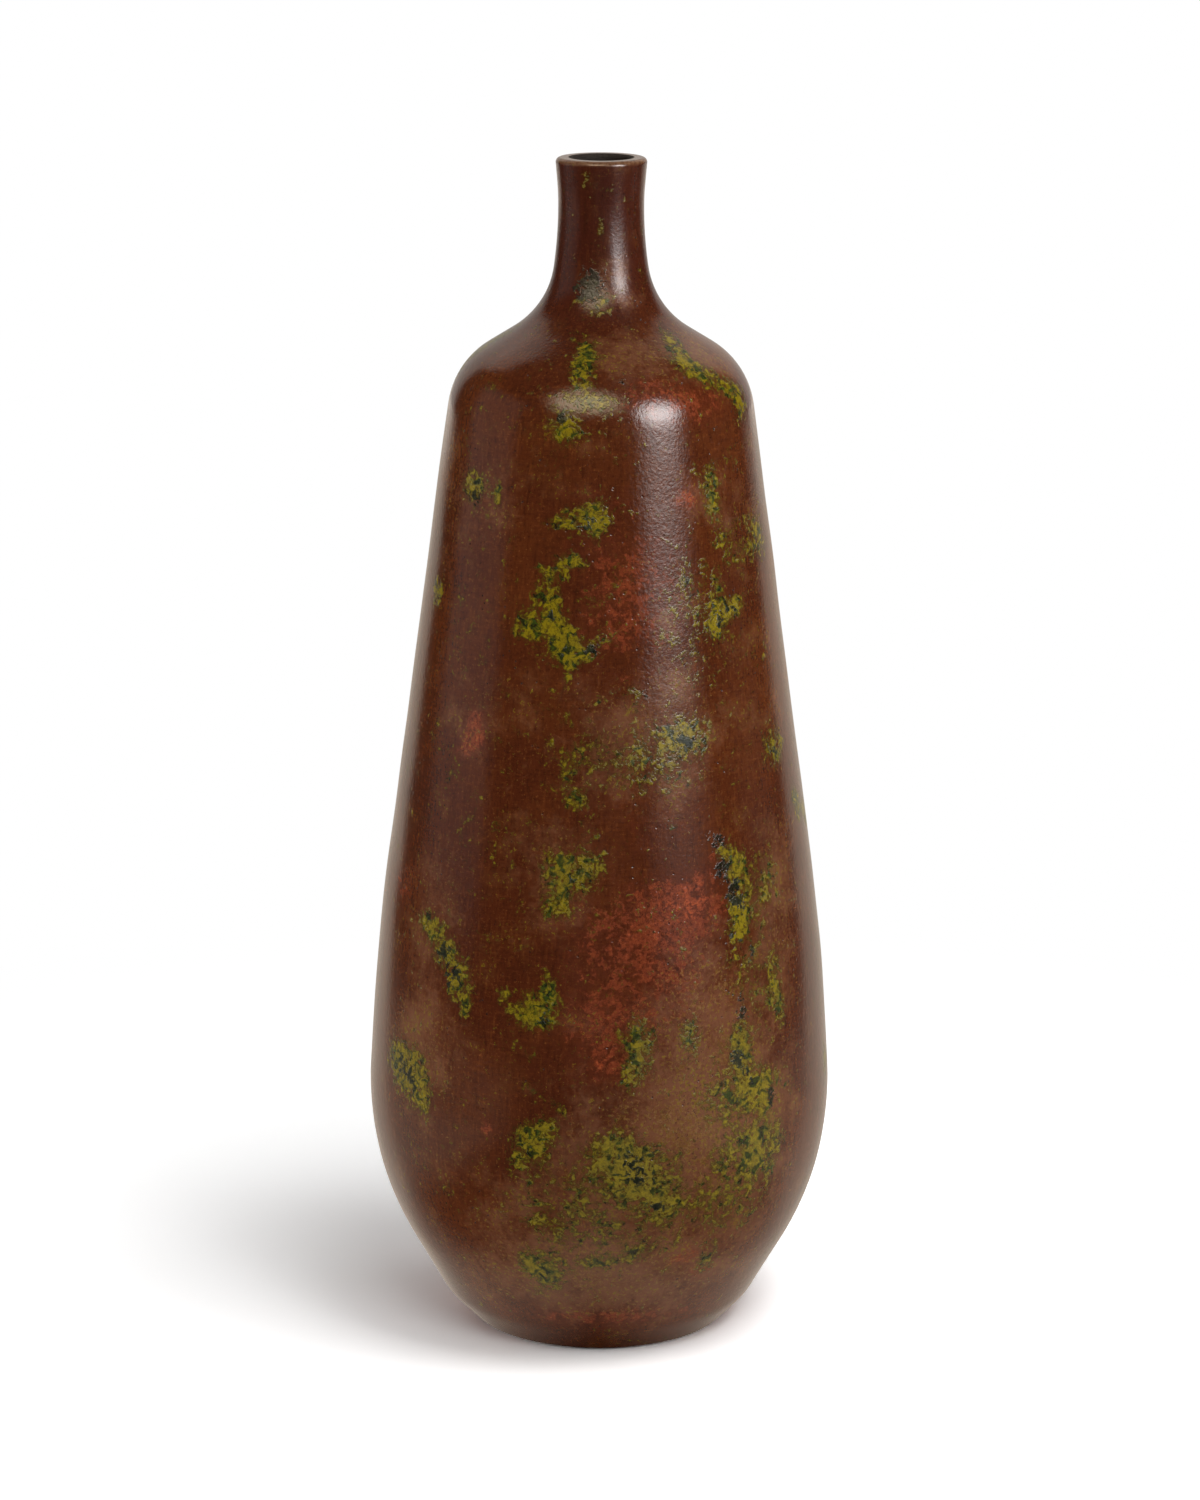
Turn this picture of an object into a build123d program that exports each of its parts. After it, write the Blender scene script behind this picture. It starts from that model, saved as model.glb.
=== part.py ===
from build123d import *
import math
import os

# A tall bottle vase in cast bronze: a slender waisted neck, a rounded shoulder, long flanks that widen
# down to a full belly, and a heel that draws in to a small plain foot. The body is one hollow casting,
# open at the mouth and at the foot. Through the foot its core was dug out, because the neck is far too
# narrow for that. A bronze plate closes the opening: it seats in a rebate turned inside the foot rim,
# and a ring of braze round its bevelled edge makes it watertight. Under it lies a disc of felt, which
# stands a little proud of the rim and carries the vase.
# Millimetres. The vase stands on the plane of zero height, and its axis is Z.

# Outline of the body. Its surface is straight runs joined by bends. Each place where two runs meet has
# a radius from the axis, a rise above the place below it, and the radius of the bend that rounds it.
FOOT_RADIUS = 46.0
FOOT_CHAMFER = 1.2
HEEL_RADIUS = 55.95
HEEL_RISE = 10.2
HEEL_BEND = 21.8
BELLY_RADIUS = 84.7
BELLY_RISE = 50.3
BELLY_BEND = 112.8
FLANK_RADIUS = 80.25
FLANK_RISE = 76.6
FLANK_BEND = 900.0
SHOULDER_RADIUS = 51.7
SHOULDER_RISE = 210.3
SHOULDER_BEND = 29.2
COLLAR_RADIUS = 18.6
COLLAR_RISE = 20.4
COLLAR_BEND = 31.0
THROAT_RADIUS = 14.4
THROAT_RISE = 30.2
THROAT_BEND = 138.0
LIP_RADIUS = 15.95
LIP_RISE = 21.5
LIP_BEND = 1.6

# Inside of the body: a core of straight runs, each turning about this many degrees from the last, and
# a plain bore through the neck.
WALL = 4.5
CORE_TURN = 20
BORE_RADIUS = 10.0
BORE_DEPTH = 32.0
BORE_CHAMFER = 1.0

# Foot rim, with the rebate that takes the plate.
RIM_WIDTH = 7.5
RECESS_DEPTH = 1.5
LEDGE_WIDTH = 4.0
LEDGE_THICKNESS = 3.0

# Plate, braze and felt.
PLATE_THICKNESS = 4.0
PLATE_GAP = 0.1
BRAZE_LEG = 1.5
FELT_THICKNESS = 2.0
FELT_GAP = 0.5

# The share of a run that the bends at its two ends may take up together, and where in its part of a
# bend each break of the core lies.
BEND_SHARE = 0.98
BREAK_SHARE = 0.5

# Levels, from the table up, and the radii inside the foot rim.
rim_level = FELT_THICKNESS - RECESS_DEPTH
plate_level = rim_level + RECESS_DEPTH
ledge_level = plate_level + PLATE_THICKNESS
floor_level = ledge_level + LEDGE_THICKNESS
rebate_radius = FOOT_RADIUS - RIM_WIDTH
opening_radius = rebate_radius - LEDGE_WIDTH


def eased(points, bends):
    """The bends between the ends of an outline, each no larger than its two runs have room for."""
    corners = range(1, len(points) - 1)
    runs = [(above - below).length for below, above in zip(points, points[1:])]
    setbacks = [0] * len(points)
    for i, bend in zip(corners, bends):
        turn = (points[i] - points[i - 1]).get_angle(points[i + 1] - points[i])
        setbacks[i] = bend * math.tan(math.radians(turn) / 2)
    room = []
    for run, below, above in zip(runs, setbacks, setbacks[1:]):
        room.append(min(1, BEND_SHARE * run / (below + above)))
    return [bend * min(room[i - 1], room[i]) for i, bend in zip(corners, bends)]


def outer_line():
    """The outside of the body, from the chamfer of the foot to the chamfer of the mouth."""
    places = [
        (HEEL_RADIUS, HEEL_RISE, HEEL_BEND),
        (BELLY_RADIUS, BELLY_RISE, BELLY_BEND),
        (FLANK_RADIUS, FLANK_RISE, FLANK_BEND),
        (SHOULDER_RADIUS, SHOULDER_RISE, SHOULDER_BEND),
        (COLLAR_RADIUS, COLLAR_RISE, COLLAR_BEND),
        (THROAT_RADIUS, THROAT_RISE, THROAT_BEND),
        (LIP_RADIUS, LIP_RISE, LIP_BEND),
    ]
    points = [Vector(FOOT_RADIUS, rim_level)]
    for radius, rise, _ in places:
        points.append(Vector(radius, points[-1].Y + rise))
    points.append(Vector(BORE_RADIUS + BORE_CHAMFER, points[-1].Y))
    points[0] += (points[1] - points[0]).normalized() * FOOT_CHAMFER
    bends = [bend for _, _, bend in places]
    return FilletPolyline(*points, radius=eased(points, bends))


def core_breaks(outer):
    """Where the straight runs of the core meet, from the heel up to the neck.

    They are places along the outer bends, set in by the wall. The bends of the throat and the lip
    have none, because the bore passes inside them.
    """
    bends = [edge for edge in outer.edges() if edge.geom_type == GeomType.CIRCLE]
    breaks = []
    for bend in bends[:-2]:
        turn = (bend % 0).get_angle(bend % 1)
        count = math.ceil(turn / CORE_TURN)
        for i in range(count):
            share = (i + BREAK_SHARE) / count
            along = bend % share
            breaks.append(bend @ share + Vector(-along.Y, along.X) * WALL)
    return breaks


def turned(*lines):
    """The ring or disc that a closed half section sweeps out about the axis."""
    return revolve(Plane.XZ * make_face(lines), Axis.Z)


def vase_body():
    """The hollow casting, from foot rim to lip, with the rebate inside its foot."""
    outer = outer_line()
    mouth = outer @ 1
    inner = Polyline(
        mouth,
        (BORE_RADIUS, mouth.Y - BORE_CHAMFER),
        (BORE_RADIUS, mouth.Y - BORE_DEPTH),
        *reversed(core_breaks(outer)),
        (opening_radius, floor_level),
        (opening_radius, ledge_level),
        (rebate_radius, ledge_level),
        (rebate_radius, rim_level),
        (FOOT_RADIUS - FOOT_CHAMFER, rim_level),
        outer @ 0,
    )
    return turned(outer, inner)


def base_plate():
    """The disc that closes the foot, its lower edge bevelled for the braze."""
    radius = rebate_radius - PLATE_GAP
    bevel = BRAZE_LEG - PLATE_GAP
    return turned(
        Polyline(
            (0, plate_level),
            (radius - bevel, plate_level),
            (radius, plate_level + bevel),
            (radius, ledge_level),
            (0, ledge_level),
            close=True,
        )
    )


def braze_ring():
    """The braze that fills the groove between the plate's bevel and the rim."""
    return turned(
        Polyline(
            (rebate_radius - BRAZE_LEG, plate_level),
            (rebate_radius, plate_level),
            (rebate_radius, plate_level + BRAZE_LEG),
            close=True,
        )
    )


def felt_pad():
    """The felt disc in the recess under the plate."""
    radius = rebate_radius - FELT_GAP
    return turned(Polyline((0, 0), (radius, 0), (radius, plate_level), (0, plate_level), close=True))


os.makedirs("parts", exist_ok=True)
export_step(vase_body(), "parts/vase_body.step")
export_step(base_plate(), "parts/base_plate.step")
export_step(braze_ring(), "parts/braze_ring.step")
export_step(felt_pad(), "parts/felt_pad.step")
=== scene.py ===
import math
import bpy
import numpy as np
from mathutils import Euler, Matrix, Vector


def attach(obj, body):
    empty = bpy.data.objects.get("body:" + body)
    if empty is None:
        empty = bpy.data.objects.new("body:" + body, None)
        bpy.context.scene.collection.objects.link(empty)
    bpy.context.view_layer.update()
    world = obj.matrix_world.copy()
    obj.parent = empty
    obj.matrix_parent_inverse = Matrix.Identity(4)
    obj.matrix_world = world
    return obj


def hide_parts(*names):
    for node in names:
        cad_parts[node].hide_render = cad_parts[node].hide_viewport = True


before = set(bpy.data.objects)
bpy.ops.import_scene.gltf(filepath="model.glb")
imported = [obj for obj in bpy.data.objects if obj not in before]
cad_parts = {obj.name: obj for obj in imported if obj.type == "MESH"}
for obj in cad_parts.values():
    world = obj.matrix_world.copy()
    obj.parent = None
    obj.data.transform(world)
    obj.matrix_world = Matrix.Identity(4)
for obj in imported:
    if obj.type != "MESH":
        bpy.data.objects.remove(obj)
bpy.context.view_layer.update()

# The camera stands a metre and a half in front of the vase and looks a little down on it through a long
# lens. It comes first, because the marks of the patina are placed by where it sees them.
MM = 0.001
PICTURE_WIDTH = 1200
PICTURE_HEIGHT = 1500
CAMERA_PLACE = Vector((0, -1.554, 0.5975))
CAMERA_PITCH = 14.024
CAMERA_ROLL = 0.14
LENS = 108
SENSOR = 36
camera_data = bpy.data.cameras.new("camera")
camera_data.sensor_width = SENSOR
camera_data.lens = LENS
camera = bpy.data.objects.new("camera", camera_data)
camera.location = CAMERA_PLACE
camera.rotation_mode = "ZYX"
camera.rotation_euler = Euler((math.radians(90 - CAMERA_PITCH), 0, math.radians(CAMERA_ROLL)), "ZYX")
bpy.context.scene.collection.objects.link(camera)
bpy.context.scene.camera = camera


def sight_line(x, y):
    """The direction in which the camera sees the place x, y of the photograph, in its pixels."""
    span = SENSOR / LENS / PICTURE_HEIGHT
    across = (x - PICTURE_WIDTH / 2) * span
    up = (PICTURE_HEIGHT / 2 - y) * span
    line = Vector((across, up, -1))
    line.rotate(camera.rotation_euler)
    return line.normalized()


# The body is one hollow casting in bronze, poured by the lost wax process with walls of about 4.5 mm. Its
# outside is filed, scraped and rubbed smooth by hand, so its curves wander by a tenth or two of a millimetre.
# Each break of the section is a radius, a height and the bend that rounds it, in millimetres.
OUTSIDE = [
    (38.5, 0.5, 0.4),
    (46.0, 0.5, 1.7),
    (55.95, 10.7, 21.8),
    (84.7, 61.0, 112.8),
    (80.25, 137.6, 900),
    (51.7, 347.9, 29.2),
    (18.6, 368.3, 31.0),
    (14.4, 398.5, 138),
    (15.95, 420, 1.7),
    (10.0, 420, 1.5),
]
INSIDE = [
    (10.0, 388, 14),
    (13.9, 365.9, 25),
    (47.5, 345.2, 24.7),
    (75.8, 137, 895),
    (80.1, 62.1, 108),
    (52.4, 13.5, 5),
    (34.5, 9.0, 0.8),
    (34.5, 6.0, 0.3),
    (38.5, 6.0, 0.3),
]
# Segments round the axis, the steps between rows of the mesh in millimetres and between those of a bend in
# angle, the angle that stays an edge, and a hair, which is the least length that counts.
SEGMENTS = 256
OUTER_STEP = 2.2
INNER_STEP = 6
BEND_STEP = math.radians(7)
SHARP_ANGLE = math.radians(40)
HAIR = 1e-6


def rounded(breaks, step):
    """Points along a closed section: its bends, and the straight runs between them."""
    corner = [Vector(b[:2]) for b in breaks]
    ends = []
    for i, (radius, height, bend) in enumerate(breaks):
        back = (corner[i - 1] - corner[i]).normalized()
        ahead = (corner[(i + 1) % len(corner)] - corner[i]).normalized()
        turn = math.pi - back.angle(ahead)
        middle = corner[i] + (back + ahead).normalized() * (bend / math.cos(turn / 2))
        reach = bend * math.tan(turn / 2)
        ends.append((corner[i] + back * reach, corner[i] + ahead * reach, middle, turn, bend))
    points = []
    for i, (start, end, middle, turn, bend) in enumerate(ends):
        pace = step(i)
        count = max(2, math.ceil(turn / BEND_STEP), math.ceil(turn * bend / pace))
        for j in range(count + 1):
            spoke = (start - middle).slerp(end - middle, j / count)
            points.append(middle + spoke.normalized() * bend)
        onward = ends[(i + 1) % len(ends)][0]
        pieces = max(1, round((onward - end).length / pace))
        for j in range(1, pieces):
            points.append(end.lerp(onward, j / pieces))
    return points


def section_pace(i):
    """Close rows on the outside, where the patina is, and wide ones inside."""
    return OUTER_STEP if 0 < i < len(OUTSIDE) - 1 else INNER_STEP


# The outside ends at the innermost of the highest rows.
section = np.array([tuple(p) for p in rounded(OUTSIDE + INSIDE, section_pace)])
row_radius, row_height = section[:, 0], section[:, 1]
top_row = int(np.argmax(row_height - row_radius * HAIR))
outer_rows = np.arange(len(section)) <= top_row
turn_of = np.arange(SEGMENTS) * (2 * math.pi / SEGMENTS)
around, radius = np.meshgrid(turn_of, row_radius)
height = np.repeat(row_height[:, None], SEGMENTS, axis=1)

# The hand finish: broad shallow hollows round the body, each a number of waves round the axis, the
# length of the wave up the body, its depth and its start.
HOLLOWS = [
    (2, 140, 0.07, 0.4),
    (3, 75, 0.05, 2.1),
    (5, 48, 0.04, 4.0),
    (8, 37, 0.025, 1.2),
    (13, 29, 0.012, 5.1),
]
DEEPEST = sum(depth for _, _, depth, _ in HOLLOWS)
EDGE_FADE = 14
hollow = np.full_like(radius, DEEPEST)
for waves, length, depth, start in HOLLOWS:
    hollow += depth * np.sin(waves * around + 2 * math.pi * height / length + start)
calm = np.clip(np.minimum(height - row_height.min(), row_height.max() - height) / EDGE_FADE, 0, 1)
radius = radius - hollow * calm * outer_rows[:, None]

rows = len(section)
grid = np.stack([radius * np.sin(around), -radius * np.cos(around), height], axis=2) * MM
index = np.arange(rows * SEGMENTS).reshape(rows, SEGMENTS)
right = np.roll(index, -1, axis=1)
quads = np.stack([index, right, np.roll(right, -1, axis=0), np.roll(index, -1, axis=0)], axis=2)
body_mesh = bpy.data.meshes.new("vase_body_casting")
body_mesh.from_pydata(grid.reshape(-1, 3).tolist(), [], quads.reshape(-1, 4).tolist())
body_mesh.polygons.foreach_set("use_smooth", [True] * len(body_mesh.polygons))
body_mesh.set_sharp_from_angle(angle=SHARP_ANGLE)
body = bpy.data.objects.new("vase_body_casting", body_mesh)
bpy.context.scene.collection.objects.link(body)
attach(body, "root")
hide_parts("vase_body")

# The patina was dabbed, sponged and brushed on to the hot bronze in layers: rust orange where iron salts
# were burnt in, a tan haze, leaf green, and blue-black blots. The haze marks also lighten the colour as
# painted highlight and painted light from the floor. Each mark seen from the front is its place in the
# photograph, its half width and half height there in pixels, its lean in degrees and its strength.
GREEN_SEEN = [
    (598, 306, 14, 10, 0, 0.45), (601, 230, 3, 12, 0, 0.4), (584, 366, 12, 15, 0, 1.0),
    (677, 348, 6, 16, -30, 0.8), (695, 370, 12, 9, -20, 0.8), (722, 385, 12, 8, -25, 0.7),
    (740, 402, 6, 16, -15, 0.9), (590, 402, 24, 10, 0, 0.75), (566, 430, 16, 12, 0, 0.7),
    (474, 489, 9, 13, 0, 1.0), (497, 497, 5, 11, 0, 0.8), (572, 520, 18, 9, 8, 0.9),
    (598, 523, 10, 15, 0, 0.95), (551, 574, 14, 5, -20, 0.8), (569, 562, 12, 8, 0, 0.85),
    (537, 592, 5, 9, 20, 0.7), (533, 628, 17, 12, -12, 1.0), (552, 612, 7, 20, 12, 1.0),
    (563, 640, 9, 18, 0, 1.0), (573, 653, 17, 12, -15, 1.0), (603, 634, 6, 12, 10, 0.35),
    (568, 676, 4, 10, 0, 0.6), (711, 478, 5, 12, 0, 0.7), (712, 502, 7, 14, 0, 0.8),
    (723, 540, 10, 14, 0, 0.55), (752, 540, 14, 20, 0, 0.6), (717, 617, 9, 16, 0, 1.0),
    (736, 607, 9, 9, -10, 0.95), (438, 590, 5, 16, 0, 0.8), (683, 739, 21, 17, 0, 1.0),
    (775, 746, 9, 16, 0, 0.8), (631, 696, 8, 12, 0, 0.5), (639, 752, 8, 20, 0, 0.45),
    (574, 801, 9, 8, 0, 0.75), (566, 775, 5, 6, 0, 0.5), (571, 872, 22, 18, 0, 0.9),
    (556, 903, 12, 14, 0, 0.8), (596, 862, 8, 10, 0, 0.7), (735, 868, 10, 14, 0, 1.0),
    (741, 905, 9, 20, 0, 1.0), (738, 931, 9, 10, 0, 0.95), (722, 853, 6, 7, 0, 0.8),
    (765, 885, 12, 22, 0, 0.5), (432, 928, 10, 11, -20, 0.95), (445, 950, 8, 15, -25, 0.95),
    (456, 980, 10, 16, -20, 1.0), (466, 1004, 5, 14, -10, 0.9), (536, 1012, 15, 16, 30, 0.95),
    (550, 990, 6, 14, 15, 0.8), (504, 996, 5, 10, -10, 0.8), (515, 1014, 8, 8, 0, 0.7),
    (774, 984, 6, 22, -8, 0.85), (781, 1010, 4, 16, -5, 0.7), (638, 1046, 15, 22, 0, 0.75),
    (630, 1075, 10, 14, 0, 0.6), (690, 1039, 10, 14, 0, 0.8), (742, 1052, 8, 26, 0, 1.0),
    (756, 1092, 18, 22, 0, 1.0), (732, 1105, 15, 20, 0, 0.5), (770, 1140, 14, 26, 0, 0.75),
    (410, 1070, 16, 22, 0, 0.85), (424, 1098, 9, 14, 0, 0.8), (396, 1060, 9, 20, 0, 0.7),
    (530, 1146, 14, 18, 15, 0.85), (545, 1132, 12, 12, 10, 0.8), (519, 1162, 6, 8, 0, 0.7),
    (560, 1110, 6, 8, 0, 0.5), (625, 1165, 30, 20, 0, 1.0), (612, 1148, 16, 12, 0, 0.9),
    (640, 1190, 22, 14, 0, 0.95), (664, 1205, 14, 9, 0, 0.9), (668, 1180, 10, 14, 0, 0.6),
    (536, 1222, 8, 8, 0, 0.5), (544, 1271, 18, 20, 0, 0.85), (527, 1262, 8, 12, 0, 0.7),
    (600, 1262, 20, 7, 8, 0.75), (636, 1254, 12, 8, 12, 0.7), (706, 1262, 8, 14, -20, 0.6),
    (560, 1200, 50, 40, 0, 0.3), (610, 1226, 60, 30, 0, 0.3), (700, 1196, 46, 40, 0, 0.3),
    (742, 1184, 26, 40, 0, 0.45), (716, 1086, 18, 24, 0, 0.35), (746, 1150, 20, 24, 0, 0.45),
    (606, 762, 28, 26, 0, 0.35), (660, 770, 26, 30, 0, 0.3), (700, 620, 30, 60, 0, 0.28),
    (752, 960, 14, 60, 0, 0.35), (560, 760, 20, 30, 0, 0.3), (590, 600, 26, 30, 0, 0.12),
]
DARK_SEEN = [
    (591, 284, 15, 14, -30, 1.0), (583, 293, 10, 7, -30, 0.9),
    (622, 380, 5, 8, 0, 0.8), (562, 420, 8, 6, 0, 0.9),
    (474, 495, 7, 12, 0, 0.8), (590, 524, 16, 6, 5, 0.7), (552, 617, 5, 12, 0, 0.55),
    (563, 643, 4, 14, 0, 0.5), (592, 648, 8, 7, 0, 0.8), (515, 622, 3, 3, 0, 0.7),
    (720, 620, 8, 13, 0, 0.7), (733, 608, 8, 7, 0, 0.7), (683, 742, 16, 13, 0, 0.85),
    (645, 694, 6, 14, 0, 0.5), (774, 748, 6, 12, 0, 0.6), (717, 840, 8, 8, 0, 0.95),
    (722, 868, 7, 11, -15, 1.0), (733, 893, 7, 14, 0, 1.0), (742, 905, 4, 10, 0, 0.9),
    (736, 938, 10, 5, 0, 0.7), (752, 955, 6, 10, -20, 0.5), (744, 970, 5, 8, 0, 0.4),
    (443, 952, 6, 12, -25, 0.85), (454, 975, 7, 12, -20, 0.9), (542, 1016, 8, 8, 0, 0.7),
    (742, 1012, 6, 16, 0, 0.75), (738, 1060, 7, 10, 0, 0.95), (747, 1075, 6, 12, 0, 0.7),
    (772, 1096, 5, 10, 0, 0.8), (410, 1075, 12, 16, 0, 0.6), (404, 1062, 7, 10, 0, 0.6),
    (487, 1120, 5, 12, 20, 0.5), (524, 1150, 6, 8, 0, 0.6), (628, 1163, 20, 12, 0, 0.7),
    (640, 1180, 14, 9, 0, 0.7), (660, 1206, 14, 6, 0, 0.9), (543, 1274, 8, 10, 0, 0.5),
    (571, 882, 8, 14, 0, 0.4), (700, 1275, 14, 4, 0, 0.5), (598, 1288, 26, 3, 0, 0.35),
]
RUST_SEEN = [
    (690, 405, 50, 22, 0, 0.75), (650, 395, 26, 16, 0, 0.6), (687, 498, 12, 12, 0, 1.0),
    (475, 722, 8, 12, -20, 1.0), (480, 738, 5, 8, 10, 1.0), (466, 745, 9, 10, 20, 1.0),
    (690, 905, 36, 26, -15, 1.0),
    (640, 930, 52, 34, 0, 0.6), (600, 1035, 46, 40, 0, 0.6), (602, 1062, 10, 12, 0, 0.8),
    (680, 980, 46, 50, 0, 0.55), (713, 858, 7, 7, 0, 1.0),
    (684, 1256, 18, 12, 20, 1.0), (700, 1271, 15, 12, 0, 1.0),
    (487, 1128, 8, 10, 0, 0.9), (610, 560, 50, 60, 0, 0.4), (620, 640, 50, 50, 0, 0.4),
    (700, 880, 14, 10, 0, 0.8), (622, 1066, 26, 16, 0, 0.7), (648, 600, 30, 40, 0, 0.3),
    (640, 590, 60, 110, 0, 0.4), (650, 980, 80, 100, 0, 0.36), (640, 810, 60, 60, 0, 0.3),
    (604, 960, 46, 56, 0, 0.4), (472, 736, 12, 20, -10, 0.5),
    (600, 1318, 130, 14, 0, 0.8),
]
# Haze marks: a tan bloom, and on the right flank, shoulder, collar and lower body also painted highlight and
# floor light.
HAZE_AND_GLOW_SEEN = [
    (680, 690, 46, 70, 0, 0.5), (650, 760, 60, 46, 0, 0.5), (700, 500, 30, 30, 0, 0.4),
    (750, 520, 20, 50, 0, 0.35), (660, 1195, 110, 46, 0, 0.75), (560, 820, 40, 50, 0, 0.2),
    (775, 900, 24, 70, 0, 0.7), (740, 1120, 46, 60, 0, 0.7), (420, 1050, 30, 70, 0, 0.7),
    (600, 420, 40, 30, 0, 0.15), (470, 500, 40, 30, 0, 0.4), (560, 880, 36, 46, 0, 0.6),
    (430, 640, 20, 90, 0, 0.12), (700, 1000, 40, 50, 0, 0.3), (570, 1260, 60, 24, 0, 0.6),
    (622, 266, 8, 12, 0, 0.5), (610, 1290, 140, 40, 0, 0.6), (620, 300, 20, 30, 0, 0.4),
    (690, 360, 40, 20, 0, 0.6), (430, 900, 26, 60, 0, 0.4),
    (780, 700, 20, 70, 0, 0.3), (590, 720, 40, 40, 0, 0.4), (620, 360, 60, 16, 0, 0.4),
    (620, 1240, 150, 60, 0, 0.7), (700, 1130, 80, 70, 0, 0.85), (710, 1040, 80, 60, 0, 0.5),
    (690, 1128, 26, 34, 10, 1.0), (720, 980, 40, 50, 0, 0.5), (566, 1140, 40, 40, 0, 0.4),
]

# The camera's sight is followed between two distances in metres. A mark near the edge is widened only as far
# as the least facing allows, and it fades out at its reach, counted in half widths.
PIXELS_PER_MM = 2.8
SIGHT_NEAR = 1.35
SIGHT_FAR = 1.75
SIGHT_STEPS = 1601
LEAST_FACING = 0.45
MARK_REACH = 2.0

# The outside as heights that only climb, so that its radius can be looked up by height.
outer_height = row_height[outer_rows]
outer_radius = row_radius[outer_rows]
climbing = np.r_[True, np.diff(outer_height) > HAIR]
outer_height = outer_height[climbing]
outer_radius = outer_radius[climbing]


def where_seen(x, y):
    """The turn and height of the place on the body that is seen there, and how squarely it faces the lens."""
    depths = np.linspace(SIGHT_NEAR, SIGHT_FAR, SIGHT_STEPS)
    seen = np.array(CAMERA_PLACE) + depths[:, None] * np.array(sight_line(x, y))
    off_axis = np.hypot(seen[:, 0], seen[:, 1]) / MM
    within = off_axis < np.interp(seen[:, 2] / MM, outer_height, outer_radius)
    first = seen[np.argmax(within) if within.any() else np.argmin(off_axis)]
    turn = math.atan2(first[0], -first[1])
    return turn, first[2] / MM, max(LEAST_FACING, math.cos(turn))


def marked(marks):
    """How strongly marks of one kind cover each point of the body: 1 in a mark's middle, 0 outside."""
    bare = np.ones_like(radius)
    for turn, middle, half_width, half_height, lean, strength in marks:
        gap = (around - turn + math.pi) % (2 * math.pi) - math.pi
        across, up = gap * radius, height - middle
        tip = math.radians(lean)
        along = across * math.cos(tip) + up * math.sin(tip)
        over = up * math.cos(tip) - across * math.sin(tip)
        far = np.sqrt((along / half_width) ** 2 + (over / half_height) ** 2)
        share = np.clip((MARK_REACH - far) / MARK_REACH, 0, 1)
        bare *= 1 - strength * share * share * (3 - 2 * share)
    return (1 - bare) * outer_rows[:, None]


def seen_marks(table):
    """Marks given by their place in the photograph, as turns, heights and sizes on the body."""
    marks = []
    for x, y, half_width, half_height, lean, strength in table:
        turn, middle, facing = where_seen(x, y)
        width = half_width / PIXELS_PER_MM / facing
        marks.append((turn, middle, width, half_height / PIXELS_PER_MM, lean, strength))
    return marks


# On the far side each mark is a cluster of smaller dabs. Turns and leans are in degrees, heights and the
# radius in millimetres, and the rest are shares of the mark's own size and strength.
FAR_TURNS = (84, 276)
FAR_HEIGHTS = (15, 365)
FAR_WIDTHS = (0.5, 1.5)
FAR_LENGTHS = (0.7, 2.0)
FAR_LEAN = 35
FAR_RADIUS = 75
DABS = 5
DAB_SPREAD_ACROSS = 1.6
DAB_SPREAD_UP = 1.5
DAB_SIZES = (0.5, 1.1)
DAB_STRENGTHS = (0.6, 1)


def far_marks(count, seed, size, strength):
    """Marks of one kind on the far side, spread evenly round it and otherwise by chance."""
    chance = np.random.default_rng(seed)
    start, end = FAR_TURNS
    marks = []
    for i in range(count):
        turn = math.radians(start + (end - start) * (i + chance.random()) / count)
        middle = chance.uniform(*FAR_HEIGHTS)
        width = size * chance.uniform(*FAR_WIDTHS)
        length = size * chance.uniform(*FAR_LENGTHS)
        lean = chance.uniform(-FAR_LEAN, FAR_LEAN)
        for _ in range(DABS):
            aside = turn + chance.normal(0, DAB_SPREAD_ACROSS * width / FAR_RADIUS)
            above = middle + chance.normal(0, DAB_SPREAD_UP * length)
            smaller = chance.uniform(*DAB_SIZES)
            weaker = strength * chance.uniform(*DAB_STRENGTHS)
            marks.append((aside, above, smaller * width, smaller * length, lean, weaker))
    return marks


# How far each finish covers each point of the body is kept on its mesh, for the patina to read.
NECK_START = 355
NECK_BLEND = 20
LIP_START = 418.2
LIP_BLEND = 1.0
coverage = {
    "green": marked(seen_marks(GREEN_SEEN) + far_marks(count=36, seed=11, size=4.6, strength=0.95)),
    "dark": marked(seen_marks(DARK_SEEN) + far_marks(count=22, seed=23, size=2.6, strength=0.9)),
    "rust": marked(seen_marks(RUST_SEEN) + far_marks(count=9, seed=37, size=12, strength=0.75)),
    # The haze coverage holds painted highlight and painted floor light as well as the tan bloom.
    "haze_and_glow": marked(seen_marks(HAZE_AND_GLOW_SEEN) + far_marks(count=10, seed=41, size=18, strength=0.5)),
    "neck": np.clip((height - NECK_START) / NECK_BLEND, 0, 1),
    "lip": np.clip((height - LIP_START) / LIP_BLEND, 0, 1),
    "inside": np.repeat(~outer_rows[:, None], SEGMENTS, axis=1).astype(float),
}
for name, share in coverage.items():
    layer = body_mesh.attributes.new(name, "FLOAT", "POINT")
    layer.data.foreach_set("value", share.astype(np.float32).ravel())


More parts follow.
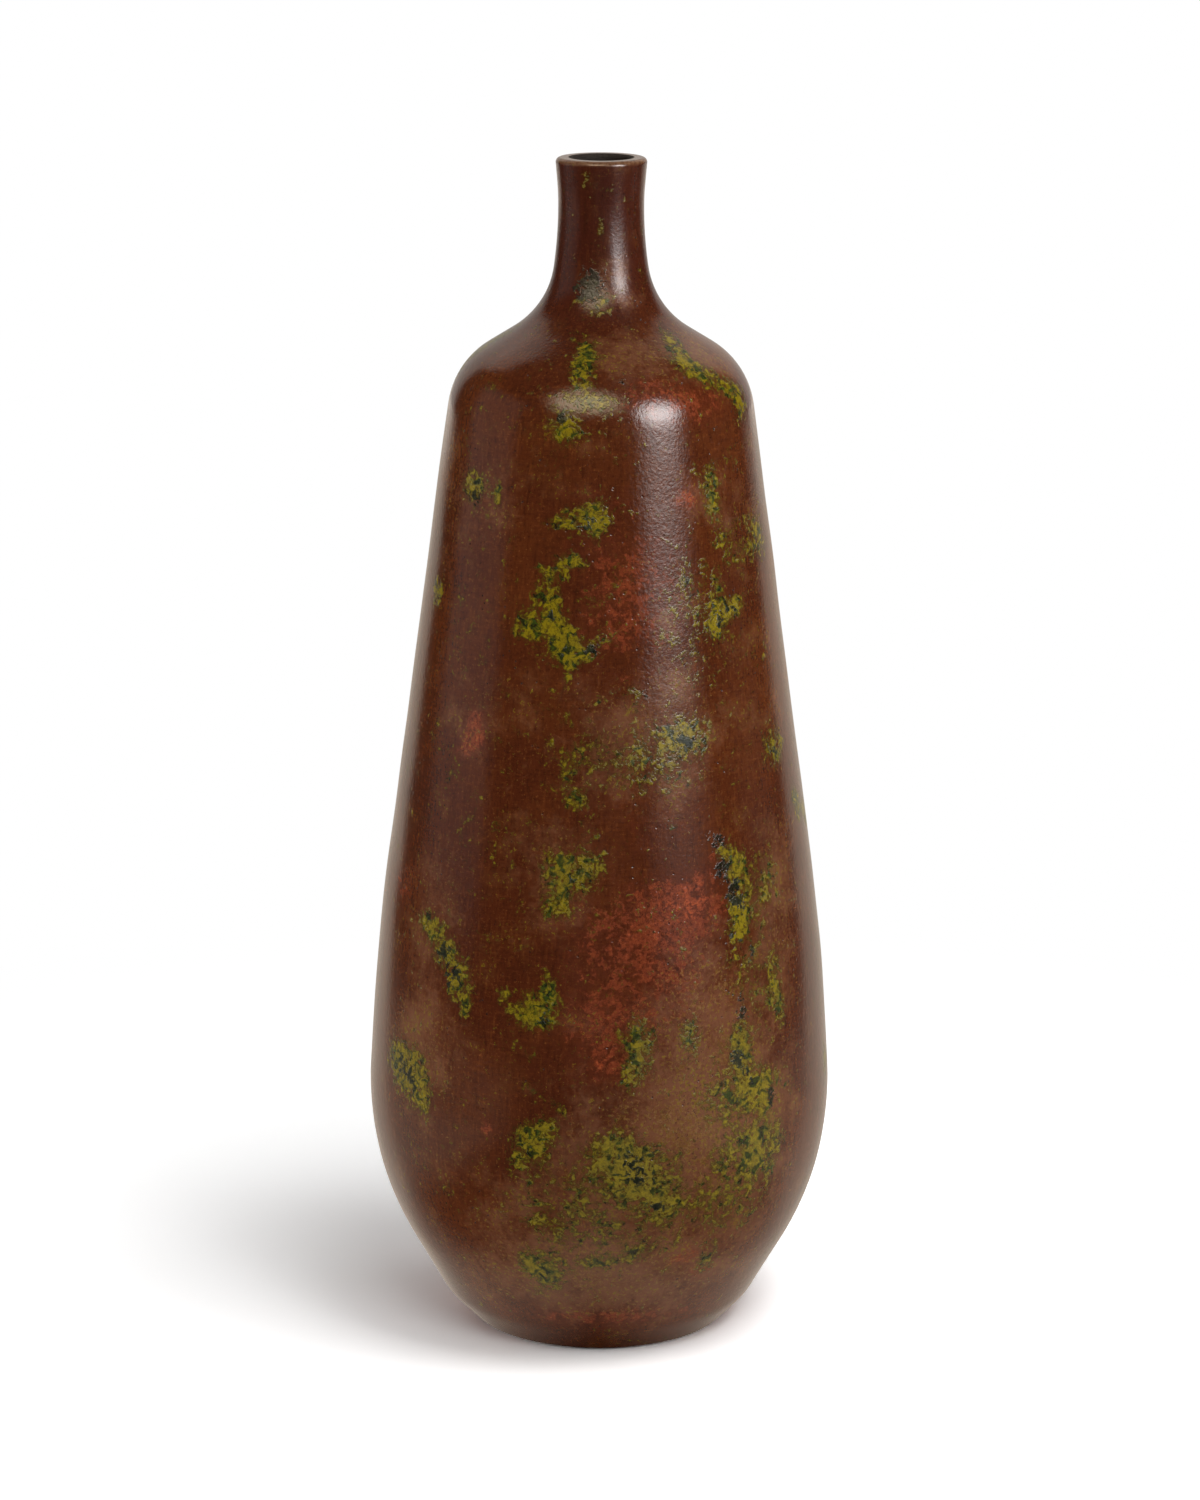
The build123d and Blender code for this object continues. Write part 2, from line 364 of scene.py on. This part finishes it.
class Tone:
    """A socket of a finish, so that the finish can be written as sums of tones."""

    def __init__(self, socket):
        self.socket = socket

    @staticmethod
    def node(tree, kind, settings, sockets, output=0):
        """A new node: its settings first, then the values or links of its sockets."""
        made = tree.nodes.new(kind)
        for name, value in settings.items():
            setattr(made, name, value)
        for name, value in sockets.items():
            if isinstance(value, Tone):
                tree.links.new(value.socket, made.inputs[name])
            else:
                made.inputs[name].default_value = value
        return Tone(made.outputs[output]) if made.outputs else None

    def reckoned(self, operation, first, second):
        tree = self.socket.id_data
        return Tone.node(tree, "ShaderNodeMath", {"operation": operation}, {0: first, 1: second})

    def __add__(self, other):
        return self.reckoned("ADD", self, other)

    __radd__ = __add__

    def __sub__(self, other):
        return self.reckoned("SUBTRACT", self, other)

    def __rsub__(self, other):
        return self.reckoned("SUBTRACT", other, self)

    def __mul__(self, other):
        return self.reckoned("MULTIPLY", self, other)

    __rmul__ = __mul__

    def __abs__(self):
        return self.reckoned("ABSOLUTE", self, 0)

    def rising(self, low, high):
        """0 below low, 1 above high, and a smooth rise between them."""
        return Tone.node(
            self.socket.id_data,
            "ShaderNodeMapRange",
            {"interpolation_type": "SMOOTHSTEP"},
            {"Value": self, "From Min": low, "From Max": high},
        )


def new_finish(name):
    """An empty finish, and its place coordinates in millimetres."""
    material = bpy.data.materials.new(name)
    material.use_nodes = True
    tree = material.node_tree
    tree.nodes.clear()
    place = Tone.node(tree, "ShaderNodeTexCoord", {}, {}, "Object")
    place = Tone.node(tree, "ShaderNodeVectorMath", {"operation": "SCALE"}, {0: place, "Scale": 1 / MM})
    return material, tree, place


def colour(red, green, blue):
    """A colour from its sRGB values of 0 to 255."""
    channels = [c / 255 for c in (red, green, blue)]
    return tuple(c / 12.92 if c < 0.04045 else ((c + 0.055) / 1.055) ** 2.4 for c in channels) + (1,)


def stretched(tree, place, across, up):
    """The place coordinates scaled across the axis and along it."""
    scale = (across, across, up)
    return Tone.node(tree, "ShaderNodeVectorMath", {"operation": "MULTIPLY"}, {0: place, 1: scale})


def cloud(tree, place, size, detail=3, roughness=0.55, distortion=0):
    """Noise with features of that size in millimetres, from 0 to 1 about 0.5."""
    sockets = {"Vector": place, "Scale": 1 / size, "Detail": detail}
    sockets.update({"Roughness": roughness, "Distortion": distortion})
    return Tone.node(tree, "ShaderNodeTexNoise", {}, sockets, "Fac")


# The places of a colour Mix node's sockets, and how far from the middle of noise a hair line starts and
# ends to fade.
MIX_FACTOR, MIX_BELOW, MIX_ABOVE = 0, 6, 7
MIX_RESULT = 2
LINE_WIDTHS = (0.004, 0.035)


def over(tree, below, above, mask):
    """The colour above laid over the colour below where the mask says."""
    sockets = {MIX_FACTOR: mask, MIX_BELOW: below, MIX_ABOVE: above}
    return Tone.node(tree, "ShaderNodeMix", {"data_type": "RGBA"}, sockets, MIX_RESULT)


def lines(noise):
    """Hair lines where the noise passes through its middle."""
    return 1 - abs(noise - 0.5).rising(*LINE_WIDTHS)


def kept(tree, name):
    """A coverage kept on the mesh."""
    return Tone.node(tree, "ShaderNodeAttribute", {"attribute_name": name}, {}, "Fac")


def bumped(tree, relief, strength, depth):
    """The relief as a bump of that depth in millimetres."""
    sockets = {"Strength": strength, "Distance": depth * MM, "Height": relief}
    return Tone.node(tree, "ShaderNodeBump", {}, sockets, "Normal")


def finished(tree, sockets):
    """The surface of a finish, from the values and links of its sockets."""
    surface = Tone.node(tree, "ShaderNodeBsdfPrincipled", {}, sockets)
    Tone.node(tree, "ShaderNodeOutputMaterial", {}, {"Surface": surface})


patina, tree, place = new_finish("waxed_patina")
green, dark, rust, haze_and_glow, neck, lip, inside = (kept(tree, name) for name in coverage)
plain = 1 - neck * 0.55

# Clouds of noise, by the size of what they stand for, break up the marks and the ground between them.
broad = cloud(tree, place, 42, 2)
drift = cloud(tree, place, 14, 4)
brushed = cloud(tree, stretched(tree, place, 1, 0.14), 1.2, 3, 0.65)
wiped = cloud(tree, stretched(tree, place, 0.18, 1), 1.1, 3, 0.65)
grain = cloud(tree, place, 1.1, 3, 0.75)
sponge = cloud(tree, place, 3.4, 3, 0.6, 1.2)
dabs = cloud(tree, place, 8.5, 3, 0.6, 0.8)
flakes = cloud(tree, place, 2.4, 2.5, 0.6, 0.7)
flecks = cloud(tree, place, 1.25, 2, 0.6, 0.6)
blots = cloud(tree, place, 2.9, 3, 0.6, 0.6)

# The ground is a red brown, darker on the neck, with the strokes of the brush up the body, those of the
# rag round it, and a fine grain.
ground = over(tree, colour(72, 31, 13), colour(82, 38, 15), broad.rising(0.36, 0.64))
ground = over(tree, ground, colour(58, 20, 10), neck * 0.75)
ground = over(tree, ground, colour(88, 48, 18), drift.rising(0.5, 0.72) * 0.35)
ground = over(tree, ground, colour(50, 20, 7), (1 - brushed.rising(0.32, 0.5)) * 0.45)
ground = over(tree, ground, colour(122, 66, 26), brushed.rising(0.55, 0.72) * plain * 0.25)
ground = over(tree, ground, colour(56, 24, 9), (1 - wiped.rising(0.32, 0.48)) * 0.4)
ground = over(tree, ground, colour(120, 62, 26), wiped.rising(0.56, 0.72) * plain * 0.22)
ground = over(tree, ground, colour(36, 17, 8), (1 - grain.rising(0.28, 0.46)) * 0.55)
ground = over(tree, ground, colour(142, 84, 38), grain.rising(0.57, 0.76) * plain * 0.5)

# Rust is a broad stain with orange flakes on it, the hottest ones brightest, and dark cracks between.
rusty = (rust * 0.95 + (drift - 0.5) * 1.3 + (blots - 0.5) * 0.8 + (dabs - 0.5) * 0.9).rising(0.1, 0.9)
ground = over(tree, ground, colour(98, 42, 22), rusty * 0.54)
burnt = (rust + (flecks - 0.5) * 0.6 + (blots - 0.5) * 1.3 + (dabs - 0.5) * 1.0).rising(0.64, 0.88)
scorched = over(tree, colour(126, 56, 32), colour(164, 78, 44), grain.rising(0.4, 0.7))
ground = over(tree, ground, scorched, burnt * 0.5)
ember = (rust + (flecks - 0.5) * 0.9 + (blots - 0.5) * 1.1).rising(0.96, 1.2)
ground = over(tree, ground, colour(176, 80, 42), ember * 0.5)
cracked = (rust * 0.5 + (0.5 - flecks) * 2.0 + (0.5 - sponge) * 1.2).rising(0.55, 0.85)
ground = over(tree, ground, colour(50, 22, 10), cracked * 0.5)
crazed = lines(sponge) * rusty * drift.rising(0.4, 0.56)
ground = over(tree, ground, colour(38, 20, 12), crazed * 0.55)

# The haze is a thin tan bloom, with pale dust and dark specks in it. On the right flank, the shoulder, the
# collar and low on the body its bloom and dust are also painted highlight and painted light and reflection
# from the floor.
hazy_glow = (haze_and_glow * 0.8 + (drift - 0.5) * 1.2 + (sponge - 0.5) * 0.8).rising(0.1, 0.8)
ground = over(tree, ground, colour(132, 86, 58), hazy_glow * (0.5 - burnt * 0.35))
# Pale dust, which on the lit flank and low on the body is also painted highlight and painted floor light.
dust_and_glow = (haze_and_glow * 0.6 + (flecks - 0.5) * 2.2 + (dabs - 0.5) * 0.8).rising(0.4, 0.75)
dust_and_glow_tone = over(tree, colour(110, 80, 20), colour(152, 112, 66), grain.rising(0.42, 0.66))
ground = over(tree, ground, dust_and_glow_tone, dust_and_glow * 0.46)
specked = (haze_and_glow * 0.45 + (grain - 0.5) * 2.4 + (blots - 0.5) * 0.9).rising(0.6, 0.85)
ground = over(tree, ground, colour(40, 26, 10), specked * 0.68)

# The greens lie in flakes on an olive stain. They run from yellow to leaf green, with shade between the
# flakes, fine veins, and loose specks round them.
scattered = (haze_and_glow * 0.3 + green * 0.4 + (flecks - 0.5) * 2.6 + (drift - 0.5) * 1.6).rising(0.5, 0.74)
ground = over(tree, ground, colour(112, 90, 16), scattered * plain * 0.6)
dabbed = green * 1.35 + (dabs - 0.5) * 1.7 + (sponge - 0.5) * 1.5
flaky = (flakes - 0.5) * 2.0 + (flecks - 0.5) * 0.9 + dabbed * 0.75
spread = dabbed.rising(0.25, 0.95)
ground = over(tree, ground, colour(86, 62, 18), dabbed.rising(0.25, 0.9) * 0.35)
ground = over(tree, ground, colour(72, 56, 10), flaky.rising(0.2, 0.45) * dabbed.rising(0.1, 0.4) * 0.55)
leaf = over(tree, colour(86, 72, 8), colour(132, 114, 10), flaky.rising(0.45, 0.9))
greener = ((drift - 0.5) * 1.2 + (blots - 0.5) * 1.8).rising(-0.05, 0.35)
leaf = over(tree, leaf, colour(60, 74, 14), spread * greener * 0.85)
leaf = over(tree, leaf, colour(82, 66, 14), (1 - grain.rising(0.36, 0.54)) * 0.55)
leafy = flaky.rising(0.4, 0.64) * dabbed.rising(0.05, 0.3)
ground = over(tree, ground, leaf, leafy * 0.92)
shade = over(tree, colour(16, 22, 8), colour(42, 58, 12), flecks.rising(0.4, 0.64))
shady = ((blots - 0.5) * 2.3 + spread * 0.3).rising(0.25, 0.54) * dabbed.rising(0.25, 0.5)
ground = over(tree, ground, shade, shady * 0.82)
veined = lines(flakes) * dabbed.rising(0.05, 0.35)
ground = over(tree, ground, colour(24, 24, 8), veined * 0.4)

# Blue-black blots lie over the greens. The lip is rubbed back to tan and is painted paler there as the
# reflection its top face shows; the inside is dark and bare, and a few small pits of the casting are left
# open.
inky = (dark * 0.95 + (blots - 0.5) * 2.0 + (flecks - 0.5) * 1.0).rising(0.5, 0.75)
ink = over(tree, colour(8, 12, 5), colour(28, 36, 16), grain.rising(0.45, 0.7))
ground = over(tree, ground, ink, inky * 0.88)
# The lip: rubbed tan, and partly a painted reflection of its top face.
ground = over(tree, ground, colour(126, 92, 66), lip * (0.3 + grain.rising(0.35, 0.6) * 0.45))
ground = over(tree, ground, colour(24, 16, 11), inside)
PIT_SPACING = 3.1
pits = Tone.node(tree, "ShaderNodeTexVoronoi", {}, {"Vector": place, "Scale": 1 / PIT_SPACING}, "Distance")
pitted = (1 - pits.rising(0.06, 0.16)) * cloud(tree, place, 9, 2).rising(0.5, 0.62)
ground = over(tree, ground, colour(26, 15, 8), pitted * 0.7)

# Wax makes the bronze glossy. The greens, hazes and blots stay a little duller and stand a little proud.
sheen = 0.14 + (drift - 0.5) * 0.08 + leafy * 0.1 + hazy_glow * 0.1 + inky * 0.08
sheen = sheen + inside * 0.7 + neck * 0.09 - lip * 0.12
pebbled = cloud(tree, place, 1.3, 2.5, 0.6)
relief = pebbled * (0.2 + inky * 0.45) + sponge * 0.1 + grain * 0.06
relief = relief + brushed * 0.03 - pitted * 0.3 + leafy * 0.1
patina_sockets = {
    "Base Color": ground,
    "Roughness": sheen,
    "IOR": 1.5,
    "Specular IOR Level": 0.5,
    "Normal": bumped(tree, relief, 0.8, 0.5),
}
finished(tree, patina_sockets)
body_mesh.materials.append(patina)

# The plate that closes the foot is a disc of the same bronze, filed flat to fit the rebate inside the rim
# and left dull. It seats on the rim's ledge, and the braze holds it.
plate_finish, tree, place = new_finish("filed_plate")
filing = cloud(tree, place, 1.2, 4)
plate_sockets = {
    "Base Color": over(tree, colour(92, 66, 44), colour(120, 88, 60), filing.rising(0.35, 0.7)),
    "Metallic": 0.7,
    "Roughness": 0.4 + filing * 0.2,
    "Normal": bumped(tree, filing, 0.4, 0.1),
}
finished(tree, plate_sockets)
plate_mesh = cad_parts["base_plate"].data
plate_mesh.materials.clear()
plate_mesh.materials.append(plate_finish)

# The braze is a paler, yellower alloy. It is run with a torch into the groove between the plate's bevel
# and the rim, all the way round, and dressed flush with a file.
braze_finish, tree, place = new_finish("dressed_braze")
beads = cloud(tree, place, 2.4, 3)
braze_sockets = {
    "Base Color": over(tree, colour(168, 130, 72), colour(206, 172, 104), beads.rising(0.35, 0.7)),
    "Metallic": 0.85,
    "Roughness": 0.3 + beads * 0.25,
    "Normal": bumped(tree, beads, 0.5, 0.2),
}
finished(tree, braze_sockets)
braze_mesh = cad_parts["braze_ring"].data
braze_mesh.materials.clear()
braze_mesh.materials.append(braze_finish)

# A disc of pressed wool felt is glued into the recess under the plate. It stands half a millimetre proud
# of the rim and carries the vase, and its cut edge is soft and a little uneven.
FELT_RADIUS = 38.0
FELT_TOP = 2.0
FELT_EDGE = 0.45
FELT_EDGE_STEP = 15
FELT_RINGS = (0.1, 0.25, 0.45, 0.65, 0.82, 0.93)
FELT_SEGMENTS = 180
WANDER = 0.35
WANDER_SPAN = 5
WANDER_FADE = 6
felt_section = [(FELT_RADIUS * share, 0.0) for share in FELT_RINGS]
for degrees in range(-90, 91, FELT_EDGE_STEP):
    bend = math.radians(degrees)
    lift = FELT_EDGE if degrees <= 0 else FELT_TOP - FELT_EDGE
    reach = FELT_RADIUS - FELT_EDGE + FELT_EDGE * math.cos(bend)
    felt_section.append((reach, lift + FELT_EDGE * math.sin(bend)))
felt_section += [(FELT_RADIUS * share, FELT_TOP) for share in reversed(FELT_RINGS)]

chance = np.random.default_rng(5)
cuts = np.tile(chance.uniform(0, WANDER, FELT_SEGMENTS), 3)
edge_wander = np.convolve(cuts, np.ones(WANDER_SPAN) / WANDER_SPAN, "same")[FELT_SEGMENTS:2 * FELT_SEGMENTS]
felt_points = [(0.0, 0.0, 0.0)]
for ring_radius, ring_height in felt_section:
    for i in range(FELT_SEGMENTS):
        turn = 2 * math.pi * i / FELT_SEGMENTS
        reach = (ring_radius - edge_wander[i] * (ring_radius / FELT_RADIUS) ** WANDER_FADE) * MM
        felt_points.append((reach * math.sin(turn), -reach * math.cos(turn), ring_height * MM))
felt_points.append((0.0, 0.0, FELT_TOP * MM))
felt_faces = []
last_ring = 1 + (len(felt_section) - 1) * FELT_SEGMENTS
for i in range(FELT_SEGMENTS):
    j = (i + 1) % FELT_SEGMENTS
    felt_faces.append((0, 1 + j, 1 + i))
    for low in range(1, last_ring, FELT_SEGMENTS):
        high = low + FELT_SEGMENTS
        felt_faces.append((low + i, low + j, high + j, high + i))
    felt_faces.append((last_ring + i, last_ring + j, len(felt_points) - 1))
felt_mesh = bpy.data.meshes.new("felt_disc")
felt_mesh.from_pydata(felt_points, [], felt_faces)
felt_mesh.polygons.foreach_set("use_smooth", [True] * len(felt_mesh.polygons))
felt = bpy.data.objects.new("felt_disc", felt_mesh)
bpy.context.scene.collection.objects.link(felt)
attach(felt, "root")
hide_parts("felt_pad")

felt_finish, tree, place = new_finish("pressed_felt")
fibres = cloud(tree, place, 0.5, 5, 0.7, 1.5)
tufts = cloud(tree, place, 4.5, 3)
matted = fibres.rising(0.4, 0.75) * 0.8 + tufts * 0.15
felt_sockets = {
    "Base Color": over(tree, colour(24, 22, 22), colour(62, 58, 56), matted),
    "Roughness": 0.95,
    "Sheen Weight": 0.4,
    "Normal": bumped(tree, fibres + tufts * 0.5, 0.8, 0.4),
}
finished(tree, felt_sockets)
felt_mesh.materials.append(felt_finish)

# The studio floor is pale paper, which takes the shadow near the vase and fades into white further off. What
# the vase sees of it is painted: in its gloss the floor is a painted dark grey, darker in front of it, and
# behind and beside it the floor glows as painted light, no lamp, which shows in the gloss and from behind
# also lights the vase. Near the foot the glow is cut away as a painted shadow. The ranges are millimetres
# from the vase's axis.
FLOOR_HALF = 3.0
FLOOR_FADE = (140, 500)
FLOOR_BEHIND = (-180, -50)
BEHIND_SPREAD = 0.98
BEHIND_SKEW = 0.12
FLOOR_SHADED = (45, 100)
SHADED_WIDTH = 0.7
FLOOR_BESIDE = (90, 210)
BESIDE_SLANT = 0.5
FLOOR_NEAR = (350, 700)
FLOOR_BEFORE = (-20, 140)
BESIDE_GLOW = 0.65
FLOOR_SEEN = 1.72
FLOOR_BOUNCE = 0.95
FLOOR_IN_GLOSS = 0.055
FLOOR_DARK_IN_GLOSS = 0.02
FLOOR_GLOW = (0.66, 0.585, 0.49, 1)
WHITE = (1, 1, 1, 1)


def grey(share):
    """A neutral colour of that brightness."""
    return (share, share, share, 1)


half = FLOOR_HALF
floor_corners = [(-half, -half, 0), (half, -half, 0), (half, half, 0), (-half, half, 0)]
floor_mesh = bpy.data.meshes.new("floor")
floor_mesh.from_pydata(floor_corners, [], [(0, 1, 2, 3)])
floor = bpy.data.objects.new("floor", floor_mesh)
bpy.context.scene.collection.objects.link(floor)

paper, tree, place = new_finish("studio_paper")
distance = Tone.node(tree, "ShaderNodeVectorMath", {"operation": "LENGTH"}, {0: place}, "Value")
side = Tone.node(tree, "ShaderNodeSeparateXYZ", {}, {0: place}, "X")
depth = Tone.node(tree, "ShaderNodeSeparateXYZ", {}, {0: place}, "Y")
first_ray = Tone.node(tree, "ShaderNodeLightPath", {}, {}, "Is Camera Ray")
glossy_ray = Tone.node(tree, "ShaderNodeLightPath", {}, {}, "Is Glossy Ray")
faded = distance.rising(*FLOOR_FADE)
# Painted glow behind the vase, which lights it and shows in its gloss, cut away near the foot as a painted
# shadow.
behind = (depth - abs(side) * BEHIND_SPREAD + side * BEHIND_SKEW).rising(*FLOOR_BEHIND)
behind = behind * (distance + abs(side) * SHADED_WIDTH).rising(*FLOOR_SHADED)
# Painted glow beside the vase, shown only in its gloss as a painted reflection.
beside = (abs(side) + depth * BESIDE_SLANT).rising(*FLOOR_BESIDE)
beside = beside * (1 - distance.rising(*FLOOR_NEAR)) * BESIDE_GLOW
before = (0 - depth).rising(*FLOOR_BEFORE)
# The floor in the gloss is a painted reflection: a dim grey, painted darker in front of the vase.
mirrored = over(tree, grey(FLOOR_IN_GLOSS), grey(FLOOR_DARK_IN_GLOSS), before)
bounced = over(tree, grey(FLOOR_BOUNCE), mirrored, glossy_ray)
pale = over(tree, bounced, grey(FLOOR_SEEN), first_ray)
lit = Tone.node(tree, "ShaderNodeBsdfDiffuse", {}, {"Color": pale})
floor_glow = over(tree, FLOOR_GLOW, WHITE, first_ray)
painted_glow = Tone.node(tree, "ShaderNodeEmission", {}, {"Color": floor_glow, "Strength": 1.0})
glow_share = first_ray * faded + (1 - first_ray) * (behind + beside * glossy_ray)
floor_surface = Tone.node(tree, "ShaderNodeMixShader", {}, {0: glow_share, 1: lit, 2: painted_glow})
Tone.node(tree, "ShaderNodeOutputMaterial", {}, {"Surface": floor_surface})
floor_mesh.materials.append(paper)

# Soft studio light comes from a large box high on the right, which throws the shadow to the left, a pale
# ceiling and low fills. The gloss is made separately, as photographers do, with bright cards and panels
# round the vase that show in it as highlights and add no light of their own.
LIGHTS_AIM = Vector((0, 0, 0.22))
GLOW_STEPS = 5
GLOW_GAP = 0.01
PLAIN_TINT = (1, 1, 1)
STRAW_TINT = (1, 0.84, 0.6)


def softbox(name, where, size, radiance, tint=PLAIN_TINT, card=False, oval=False):
    """A flat light that faces the vase, or a card that only its gloss shows.

    It stands at an azimuth and an elevation in degrees and a distance in metres. Its radiance is how
    bright its surface looks, 1 being white.
    """
    azimuth, elevation, distance = where
    width, height = size
    data = bpy.data.lights.new(name, "AREA")
    data.shape = "ELLIPSE" if oval else "RECTANGLE"
    data.size, data.size_y = width, height
    area = width * height * (math.pi / 4 if oval else 1)
    data.energy = radiance * math.pi * area
    data.color = tint
    lamp = bpy.data.objects.new(name, data)
    turn, rise = math.radians(azimuth), math.radians(elevation)
    back = Vector((math.sin(turn) * math.cos(rise), -math.cos(turn) * math.cos(rise), math.sin(rise)))
    lamp.location = LIGHTS_AIM + back * distance
    lamp.rotation_euler = back.to_track_quat("Z", "Y").to_euler()
    lamp.visible_camera = False
    lamp.visible_diffuse = not card
    lamp.visible_glossy = card
    bpy.context.scene.collection.objects.link(lamp)


def glow(name, where, size, radiance, tint=PLAIN_TINT, inner=0.6):
    """A card that is brightest in its middle and fades towards its rim, as nested ovals."""
    azimuth, elevation, distance = where
    width, height = size
    for i in range(GLOW_STEPS):
        share = inner + (2 - 2 * inner) * i / (GLOW_STEPS - 1)
        layer_where = (azimuth, elevation, distance + i * GLOW_GAP)
        layer_size = (share * width, share * height)
        softbox(f"{name}_{i}", layer_where, layer_size, radiance / GLOW_STEPS, tint, card=True, oval=True)


softbox("key_light", (55, 62, 1.6), (0.85, 0.8), 6.2)
softbox("front_light", (18, 38, 1.7), (1.0, 0.9), 2.6)
softbox("ceiling", (0, 90, 1.5), (3.0, 3.0), 0.4)
softbox("left_fill", (-92, -2, 2.0), (1.4, 0.26), 21.0)
softbox("front_fill", (0, -3, 2.0), (1.2, 0.26), 7.0)
softbox("right_fill", (96, -2, 2.0), (1.0, 0.26), 25.0)
softbox("rear_fill", (180, -2, 2.0), (1.8, 0.26), 9.0)
glow("key_core", (46, 25, 1.5), (0.5, 0.42), 16.0)
glow("key_halo", (46, 25, 1.5), (0.84, 0.87), 7.5, inner=0.85)
glow("key_skirt", (45, 10, 1.5), (0.8, 0.22), 3.4)
glow("key_skirt_low", (45, 1, 1.5), (0.8, 0.8), 0.4)
glow("front_card_left", (-25, 43, 1.7), (0.66, 0.66), 3.8, STRAW_TINT)
glow("front_card_right", (-2, 43, 1.7), (0.66, 0.66), 3.6, STRAW_TINT)
glow("front_card", (-13, 43, 1.7), (1.3, 0.9), 2.7, STRAW_TINT)
softbox("left_card", (-88, 13, 1.6), (1.29, 1.15), 0.24, card=True)
softbox("backdrop", (180, 18, 1.89), (2.9, 1.6), 0.54, (1, 0.92, 0.84), card=True)
softbox("overhead_card", (180, 50, 2.2), (3.6, 0.9), 0.6, (1, 0.91, 0.82), card=True)

# The room round the studio is white to the camera and nearly dark to everything else, so the vase takes
# its light and its gloss from the lamps, the cards and the painted glow of the floor.
ROOM_GLOW = 0.02
world = bpy.data.worlds.new("studio")
bpy.context.scene.world = world
world.use_nodes = True
tree = world.node_tree
tree.nodes.clear()
first_ray = Tone.node(tree, "ShaderNodeLightPath", {}, {}, "Is Camera Ray")
room = Tone.node(tree, "ShaderNodeBackground", {}, {"Color": WHITE, "Strength": ROOM_GLOW})
sky = Tone.node(tree, "ShaderNodeBackground", {}, {"Color": WHITE, "Strength": 1.0})
room_seen = Tone.node(tree, "ShaderNodeMixShader", {}, {0: first_ray, 1: room, 2: sky})
Tone.node(tree, "ShaderNodeOutputWorld", {}, {"Surface": room_seen})

bpy.context.scene.view_settings.view_transform = "Standard"
